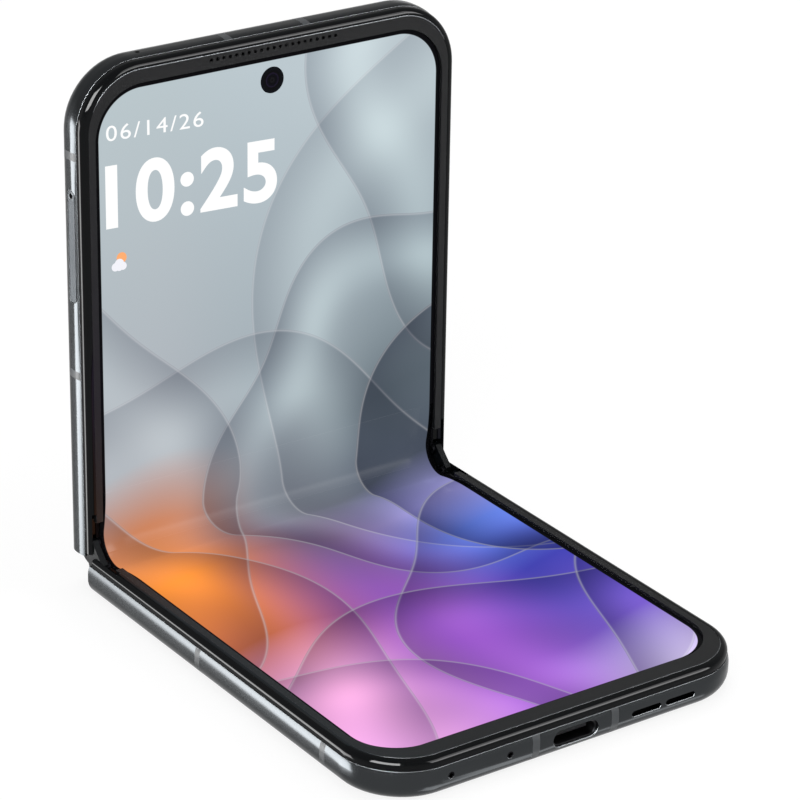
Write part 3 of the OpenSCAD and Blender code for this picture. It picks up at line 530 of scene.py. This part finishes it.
# a point of the upper half in the row frame
def upperAt(x, s, z):
    return x, *fromUpper(s, z)


def coat(material, *names):
    for name in names:
        slots = nodes[name].data.materials
        slots.clear()
        slots.append(material)
        coated.add(name)


coat(graphite(), "lower_frame", "upper_frame", "power_button", "volume_rocker")
coat(graphite("trayMetal", (0.11, 0.12, 0.13), 0.26), "sim_tray")
coat(mattePlastic("aerialPlastic", (0.045, 0.049, 0.053), 0.32, 5.0, 0.4),
     "lower_antenna_bands", "upper_antenna_bands")
coat(blackGloss(), "lower_gloss_rim", "upper_gloss_rim")
coat(mattePlastic("matteRim", level=0.28), "lower_bezel", "upper_bezel")
coat(screenMaterial("screenLower", lowerPlace), "lower_display")
coat(screenMaterial("screenUpper", upperPlace), "upper_display")
coat(machined("thinSteel", (0.45, 0.46, 0.48), 0.35),
     "lower_support_plate", "upper_support_plate", "board_shields", "sim_reader")
coat(machined("portShell", (0.10, 0.10, 0.105), 0.35), "usb_port")
coat(pebbled("backGrain", (0.050, 0.055, 0.062)), "lower_back_panel", "upper_back_strip")
coat(blackGloss("coverGlass", (0.004, 0.005, 0.007), 0.03, 0.5), "cover_glass")
coat(blackGloss("coverPanel", (0.004, 0.004, 0.005), 0.2, 0.3), "cover_display")
coat(foil("batteryFoil", (0.05, 0.05, 0.055)), "lower_battery", "upper_battery")
coat(boardMask("solderMask", (0.02, 0.12, 0.06)), "charging_board", "main_board", "key_flex")
coat(mattePlastic("blackMoulding", (0.012, 0.012, 0.013), 0.5), "usb_tongue", "loudspeaker", "earpiece")
coat(wovenMesh("speakerMesh", (0.08, 0.08, 0.085)), "speaker_mesh")
coat(machined("platedCan", (0.5, 0.5, 0.5), 0.3), "haptic_motor", "lower_microphones", "upper_microphone")
coat(turnedRings("woundCopper", (0.55, 0.28, 0.12), 0.3, (0.0, 10.0, 1.0)), "charging_coil")
coat(machined("hingeSteel", (0.05, 0.051, 0.054), 0.45),
     "lower_hinge_arms", "upper_hinge_arms", "hinge_blocks")
coat(graphite("spineMetal", (0.055, 0.060, 0.067), 0.36), "spine_cover")
coat(blackGloss("capPlastic", (0.0025, 0.003, 0.0035), 0.3, 0.15), "spine_end_caps")
coat(machined("groundSteel", (0.6, 0.6, 0.62), 0.22, (12.0, 12.0, 0.8)), "lower_screws", "upper_screws")
coat(machined("blackenedSteel", (0.012, 0.012, 0.013), 0.45, (12.0, 12.0, 0.8)), "hinge_pins", "gear_shafts")
coat(machined("cutBrass", (0.6, 0.45, 0.2), 0.35), "sync_gear_lower", "sync_gear_upper")
coat(machined("nickel", (0.5, 0.5, 0.53), 0.25), "lower_magnets", "upper_magnets")
coat(blackGloss("cameraBlack", (0.006, 0.006, 0.008), 0.12, 0.4), "main_camera", "wide_camera")
coat(turnedRings("ringMetal", (0.12, 0.125, 0.135), 0.25, upperAt(24, 73.2, -0.9)), "camera_rings")
coat(lensGlass("lensCoating", upperAt(24, 73.2, -0.75)), "camera_lenses")
coat(lensGlass("selfieCoating", upperAt(0, 77.6, 6.63), 0.08, 2.8, 0.35), "selfie_camera")
coat(mattePlastic("flashLens", (0.72, 0.68, 0.5), 0.35, 1.5), "flash_led")
print("coated", len(coated), "of", len(nodes), "nodes")

# facets of one curved face shade as one: doubles welded for shading only, edges sharper than the angle kept
smoothing = {"weld": 0.000002, "sharpAngle": 28}
for name, node in nodes.items():
    if node.hide_render:
        continue
    node.data.polygons.foreach_set("use_smooth", np.ones(len(node.data.polygons), bool))
    weld = node.modifiers.new("weld", "WELD")
    weld.merge_threshold = smoothing["weld"]
    split = node.modifiers.new("split", "EDGE_SPLIT")
    split.split_angle = math.radians(smoothing["sharpAngle"])
    flat = node.modifiers.new("flat", "WEIGHTED_NORMAL")
    flat.keep_sharp = True

# what stands on the screen
furniture = {
    "lift": 0.02,           # millimetres above the lit face
    "slope": -0.044,        # the lines of lettering fall a little to the right
    "clock": {"text": "10:25", "left": -32.1, "right": 0.93, "low": 57.95, "high": 69.0,
              "bold": 0.026, "apart": 1.1},
    "date": {"text": "06/14/26", "left": -31.8, "right": -13.4, "low": 73.0, "high": 75.6,
             "bold": 0.0, "apart": 1.15},
    "sun": {"colour": (1.0, 0.42, 0.16), "discs": [(-29.3, 52.75, 0.95)]},
    "cloud": {"colour": (0.90, 0.90, 0.96), "discs": [(-30.49, 51.28, 0.73), (-29.76, 51.74, 0.885),
                                                      (-29.07, 51.28, 0.69), (-29.76, 51.13, 0.62)]},
    "sunLift": 0.02,
    "cloudLift": 0.03,
    "discLift": 0.002,      # each patch of a sign lies this much above the one before
    "thick": 0.01,          # thickness of the lettering
    "extrude": 0.0004,      # its share of the letter size before it is fitted
}


# lays points given across and along the upper half onto its lit face, along sloping lines
def onFace(x, s, lift):
    y, z = fromUpper(s + furniture["slope"] * (x - furniture["clock"]["left"]), fold["screenZ"] + lift)
    return np.stack([x, y, z], 1) * mm


# a new piece that rides on one body
def stuck(name, mesh, material, body):
    mesh.materials.clear()
    mesh.materials.append(material)
    piece = bpy.data.objects.new(name, mesh)
    scene.collection.objects.link(piece)
    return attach(piece, body)


# lettering fitted to its own rectangle on the upper screen: each point keeps its share of the text's box
def onScreen(name, spec, material):
    curve = bpy.data.curves.new(name, "FONT")
    curve.body, curve.offset, curve.space_character = spec["text"], spec["bold"], spec["apart"]
    curve.extrude = furniture["extrude"]
    text = bpy.data.objects.new(name, curve)
    scene.collection.objects.link(text)
    bpy.context.view_layer.update()
    mesh = bpy.data.meshes.new_from_object(text.evaluated_get(bpy.context.evaluated_depsgraph_get()))
    bpy.data.objects.remove(text)
    points = np.empty(len(mesh.vertices) * 3)
    mesh.vertices.foreach_get("co", points)
    points = points.reshape(-1, 3)
    low, high = points.min(0), points.max(0)
    share = (points - low) / (high - low)
    x = spec["left"] + share[:, 0] * (spec["right"] - spec["left"])
    s = spec["low"] + share[:, 1] * (spec["high"] - spec["low"])
    placed = onFace(x, s, furniture["lift"] + share[:, 2] * furniture["thick"])
    mesh.vertices.foreach_set("co", placed.astype(np.float32).ravel())
    return stuck(name, mesh, material, "upper_half")


# a flat sign from overlapping round patches: each is a fan about its middle
def patches(name, spec, lift, material):
    sides = 40
    turn = np.linspace(0, 2 * math.pi, sides, endpoint=False)
    discs = np.array(spec["discs"])
    x = discs[:, :1] + discs[:, 2:] * np.append(np.cos(turn), 0)
    s = discs[:, 1:2] + discs[:, 2:] * np.append(np.sin(turn), 0)
    heights = np.repeat(lift + furniture["discLift"] * np.arange(len(discs)), sides + 1)
    k = np.arange(sides)
    fan = np.stack([k, (k + 1) % sides, np.full(sides, sides)], 1)
    faces = (fan[None] + (np.arange(len(discs)) * (sides + 1))[:, None, None]).reshape(-1, 3)
    mesh = bpy.data.meshes.new(name)
    mesh.from_pydata(onFace(x.ravel(), s.ravel(), heights), [], faces.tolist())
    return stuck(name, mesh, material, "upper_half")


# lit letters: dark glass that shines, with a faint cloud in its colour
def litInk(name, colour):
    shade = Shade(name)
    glow = shade.tint(shade.noise(shade.place(), 0.2, 2.0) * 0.3, colour, 1.0, 0.94)
    return shade.surface({"Base Color": (0.01, 0.01, 0.01), "Roughness": 0.3, "Specular IOR Level": 0.1,
                          "Emission Color": glow, "Emission Strength": 1.0})


print("lighting the clock")
white = litInk("clockInk", (1.0, 1.0, 1.0))
onScreen("clockDigits", furniture["clock"], white)
onScreen("dateDigits", furniture["date"], white)
for word in ("sun", "cloud"):
    sign = furniture[word]
    patches(word + "Sign", sign, furniture[word + "Lift"], litInk(word + "Ink", sign["colour"]))

# fine lines along the rim: painted highlight lines (seam, brim) and a painted shade line (groove), in
# millimetres
# of a half: distance in from its side, height, thickness, where they begin to show and how they grow (rate
# and start) as the rim turns to face the end
edging = {
    "seam": {"in": 0.315, "height": 5.46, "thick": 0.055, "from": 0.0, "grow": (1.5, 0.62)},
    "groove": {"in": 0.345, "height": 5.62, "thick": 0.06, "from": 0.0, "grow": (1.5, 0.62)},
    "brim": {"in": 1.55, "height": 7.19, "thick": 0.10, "from": 0.02, "grow": (2.2, 0.0)},
    "start": 3.2,           # distance from the fold at which the edges begin
    "halfLength": 85.8,
    "halfWidth": 37.0,
    "round": 11.5,
    "crown": (4.0, 3.65),   # height and radius of the side's round top
    "foot": (3.0, 6.2),     # height below which the side draws in again, and how slowly
    "sidePoints": 40,
    "turnPoints": 28,
    "endPoints": 30,
}


# the way round a half at one distance in: up one side, round the end, down the other; also how far each
# point faces the end, 0 on the sides and 1 on the end
def rimPath(inward):
    e = edging
    r, w, far = e["round"] - inward, e["halfWidth"] - inward, e["halfLength"] - inward
    straight = np.linspace(e["start"], far - r, e["sidePoints"])[:-1]
    turn = np.linspace(0, math.pi / 2, e["turnPoints"])
    across = np.linspace(-(w - r), w - r, e["endPoints"])[1:-1]
    side, end = np.full_like(straight, w), np.full_like(across, far)
    swungX, swungS = (w - r) + r * np.cos(turn), far - r + r * np.sin(turn)
    x = np.concatenate([-side, -swungX, across, swungX[::-1], side])
    s = np.concatenate([straight, swungS, end, swungS[::-1], straight[::-1]])
    share = turn / turn[-1]
    facing = np.concatenate([side * 0, share, np.ones_like(across), share[::-1], side * 0])
    return x, s, facing


# round wire along a line of points in a half's own millimetres: at each point a circle stands across it
askew = {"lower_half": (0.31, 0.47, 0.83), "upper": (0.31, -0.83, 0.47)}    # never along any of the lines


def wire(name, x, s, z, thick, closed, material, body, sides=10):
    if body == "lower_half":
        line, across = np.stack([x, fold["middleY"] - s, z], 1), askew["lower_half"]
    else:
        line, across = np.stack([x, *fromUpper(s, z)], 1), askew["upper"]
    along = np.roll(line, -1, 0) - np.roll(line, 1, 0) if closed else np.gradient(line, axis=0)
    along /= np.linalg.norm(along, axis=1, keepdims=True)
    first = np.cross(along, across)
    first /= np.linalg.norm(first, axis=1, keepdims=True)
    second = np.cross(along, first)
    turn = np.linspace(0, 2 * math.pi, sides, endpoint=False)[None, :, None]
    thick = np.broadcast_to(thick, x.shape)[:, None, None]
    rings = line[:, None] + thick * (np.cos(turn) * first[:, None] + np.sin(turn) * second[:, None])
    count = len(line)
    i, j = np.meshgrid(np.arange(count if closed else count - 1), np.arange(sides), indexing="ij")
    a, b = i * sides + j, i * sides + (j + 1) % sides
    c, d = (i + 1) % count * sides + (j + 1) % sides, (i + 1) % count * sides + j
    mesh = bpy.data.meshes.new(name)
    mesh.from_pydata(rings.reshape(-1, 3) * mm, [], np.stack([a, b, c, d], -1).reshape(-1, 4).tolist())
    mesh.polygons.foreach_set("use_smooth", np.ones(len(mesh.polygons), bool))
    return stuck(name, mesh, material, body)


# how far the side has drawn in at a height: by a circle above its crown, by a slow curve below its foot
def drawnIn(z):
    (high, r), (low, slow) = edging["crown"], edging["foot"]
    return r - np.sqrt(r * r - np.maximum(z - high, 0) ** 2) + np.maximum(low - z, 0) ** 2 / slow


# round-ended opening: a stadium of a width and height about a middle, its line starting on the right; also
# how far each point lies to its upper side
def stadium(width, height, middle, level, count=64):
    turn = np.linspace(0, 2 * math.pi, count, endpoint=False)
    r = height / 2
    across = middle + np.sign(np.cos(turn)) * (width / 2 - r) + r * np.cos(turn)
    return across, level + r * np.sin(turn), np.sin(turn)


print("drawing the fine edges")
# painted highlight: metal brighter than the frame for the bright lines; near-black for the painted shade
# lines
bright = machined("paintedHighlightMetal", (0.20, 0.21, 0.22), 0.45, (3.0, 3.0, 3.0))
dark = mattePlastic("seamShadow", (0.0015, 0.0015, 0.002), 0.6, 5.0, 0.05)
for body, tail in (("lower_half", "Lower"), ("upper_half", "Upper")):
    for word, ink in (("seam", bright), ("groove", dark), ("brim", bright)):
        edge = edging[word]
        x, s, facing = rimPath(edge["in"])
        kept = facing >= edge["from"]
        # the painted lines grow thicker where the rim turns to face the end
        thick = edge["thick"] * np.clip(facing * edge["grow"][0] + edge["grow"][1], 0.0, 1.0)[kept]
        wire(word + tail, x[kept], s[kept], np.full(kept.sum(), edge["height"]), thick, False, ink, body)

# fine outlines in a half's faces, in millimetres: width, height, middle along the face, middle height,
# wire thickness and how deep its middle lies; the lips, tray outline and pin rim are painted highlight
# lines, a lip thinning out towards its upper side; the shades and the tray gap are painted shade rings
endLines = {
    "portLip": (8.9, 3.0, 0.0, 3.3, 0.13, 0.09),
    "slotLipLeft": (5.95, 1.1, 14.05, 3.3, 0.10, 0.09),
    "slotLipRight": (5.95, 1.1, 20.95, 3.3, 0.10, 0.09),
    "soundLipLeft": (1.12, 1.12, -24.0, 3.6, 0.09, 0.03),
    "soundLipRight": (1.12, 1.12, -12.8, 3.6, 0.09, 0.03),
    "soundShadeLeft": (0.98, 0.98, -24.0, 3.6, 0.14, 0.08),
    "soundShadeRight": (0.98, 0.98, -12.8, 3.6, 0.14, 0.08),
}
sideLines = {
    "trayOutline": (19.6, 2.1, 55.25, 4.0, 0.055, 0.02),
    "trayGap": (19.453, 1.953, 55.25, 4.0, 0.045, 0.02),
    "pinRim": (1.05, 1.05, 64.0, 4.0, 0.05, 0.02),
    "pinShade": (0.72, 0.72, 64.0, 4.0, 0.13, 0.08),
}
lipHighlightFade = {"rate": 1.6, "start": 0.1, "least": 0.05}
for name, (width, height, middle, level, thick, deep) in endLines.items():
    x, z, up = stadium(width, height, middle, level)
    s = edging["halfLength"] - drawnIn(z) - deep
    if "Shade" in name:
        wire(name, x, s, z, thick, True, dark, "lower_half")
    else:
        # painted highlight: a lip thins out towards its upper side, so its bright crescent sits on the lower
        # side
        thick = thick * np.clip(lipHighlightFade["start"] - up * lipHighlightFade["rate"], lipHighlightFade["least"], 1.0)
        wire(name, x, s, z, thick, True, bright, "lower_half")
for name, (width, height, middle, level, thick, deep) in sideLines.items():
    s, z, up = stadium(width, height, middle, level)
    x = drawnIn(z) + deep - edging["halfWidth"]
    # tray outline and pin rim as painted highlight lines, tray gap and pin shade as painted shade lines
    ink = bright if name in ("trayOutline", "pinRim") else dark
    wire(name, x, s, z, thick, True, ink, "sim_tray" if name.startswith("pin") else "upper_half")

# the camera: its place in millimetres, the way it looks and its roll in degrees
camera = {
    "place": (-306.56, -416.06, 279.88),
    "looks": (0.532735, 0.736332, -0.417144),
    "roll": 1.599,
    "lens": 160.27,
    "sensor": 36.0,
    "shift": (0.0068, 0.0066),
    "clip": (0.01, 50),
}
lens = bpy.data.cameras.new("camera")
lens.lens, lens.sensor_width = camera["lens"], camera["sensor"]
lens.shift_x, lens.shift_y = camera["shift"]
lens.clip_start, lens.clip_end = camera["clip"]
eye = bpy.data.objects.new("camera", lens)
aimed = Vector(camera["looks"]).to_track_quat("-Z", "Y").to_matrix().to_4x4()
rolled = Matrix.Rotation(math.radians(camera["roll"]), 4, "Z")
eye.matrix_world = Matrix.Translation(Vector(camera["place"]) * mm) @ aimed @ rolled
scene.collection.objects.link(eye)
scene.camera = eye

# soft lamps in metres and watts, all aimed at one point of the phone
aim = Vector((0, 0.04, 0.04))
lamps = {
    "softLeft": {"at": (-0.9, -0.7, 0.9), "size": (0.8, 0.8), "power": 9.0},
    "softRight": {"at": (0.9, -0.6, 0.8), "size": (0.7, 0.7), "power": 5.0},
    "softTop": {"at": (0.1, 0.3, 1.4), "size": (1.0, 0.8), "power": 8.0},
}
for name, lamp in lamps.items():
    light = bpy.data.lights.new(name, "AREA")
    light.shape, light.energy = "RECTANGLE", lamp["power"]
    light.size, light.size_y = lamp["size"]
    held = bpy.data.objects.new(name, light)
    at = Vector(lamp["at"])
    held.matrix_world = Matrix.Translation(at) @ (aim - at).to_track_quat("-Z", "Y").to_matrix().to_4x4()
    held.visible_camera = held.visible_glossy = False
    scene.collection.objects.link(held)


# 1 for what the camera sees, directly or through glass, and 1 for what polished faces mirror
def openRay(tree):
    path = tree.node("ShaderNodeLightPath").outputs
    seen = tree.math("MAXIMUM", path["Is Camera Ray"], path["Is Transmission Ray"])
    return seen, Term(tree, path["Is Glossy Ray"])


# what polished faces mirror: a pale surround that darkens overhead, and soft boxes by compass bearing and
# height in degrees
boxes = [
    {"bearing": (-66, -40), "height": (-27, -4), "soft": 2, "bright": 11.0},
    {"bearing": (-145, -98), "height": (18, 46), "soft": 1.5, "bright": 28.0},
    {"bearing": (128, 165), "height": (13, 24), "soft": 3, "bright": 11.0},
    {"bearing": (128, 165), "height": (24, 40), "soft": 5, "bright": 5.0},
    {"bearing": (120, 165), "height": (-62, -47), "soft": 4, "bright": 1.8},
]
around = {"below": 0.60, "above": 0.34, "from": 0, "to": 18, "matt": 0.55}


# the surround's brightness in one direction: two levels blended by height, plus each box inside its limits
def mirrored(tree):
    x, y, z = tree.split(tree.node("ShaderNodeTexCoord").outputs["Generated"])
    bearing = tree.math("ARCTAN2", x, y) * (180 / math.pi)
    height = tree.math("ARCSINE", z) * (180 / math.pi)
    lower = 1 - tree.step(height, around["from"], around["to"])
    glow = lower * (around["below"] - around["above"]) + around["above"]
    for box in boxes:
        (left, right), (low, high), soft = box["bearing"], box["height"], box["soft"]
        shape = tree.step(bearing, left - soft, left) * (1 - tree.step(bearing, right, right + soft))
        shape = shape * tree.step(height, low - soft, low) * (1 - tree.step(height, high, high + soft))
        glow = glow + shape * box["bright"]
    return glow


# white to the camera, an even softer light on matt faces
sky = Shade("studio", bpy.data.worlds)
scene.world = sky.owner
plain, glossy = openRay(sky)
strength = (plain * (1 - around["matt"]) + around["matt"]) * (1 - glossy) + mirrored(sky) * glossy
ambient = sky.node("ShaderNodeBackground", {}, {"Color": (1.0, 1.0, 1.0), "Strength": strength})
sky.node("ShaderNodeOutputWorld", {}, {"Surface": ambient.outputs[0]})

print("laying the floor")
ground = {"reach": 4.0, "tones": ((0.88, 0.88, 0.88), (0.9, 0.9, 0.9)), "open": 0.85}
paper = Shade("paper")
cloud = paper.noise(paper.place(), 0.01, 2.0)
matt = paper.node("ShaderNodeBsdfDiffuse", {}, {"Color": paper.mix(cloud, *ground["tones"])})
shine = paper.node("ShaderNodeEmission", {}, {"Color": (1.0, 1.0, 1.0), "Strength": 1.0})
inputs = {0: openRay(paper)[0] * ground["open"], 1: matt.outputs[0], 2: shine.outputs[0]}
blended = paper.node("ShaderNodeMixShader", {}, inputs)
paper.node("ShaderNodeOutputMaterial", {}, {"Surface": blended.outputs[0]})
plane = bpy.data.meshes.new("floor")
corners = np.array([(-1, -1, 0), (1, -1, 0), (1, 1, 0), (-1, 1, 0)]) * ground["reach"]
plane.from_pydata(corners, [], [(0, 1, 2, 3)])
plane.materials.append(paper.owner)
floor = bpy.data.objects.new("floor", plane)
scene.collection.objects.link(floor)
floor.visible_glossy = False
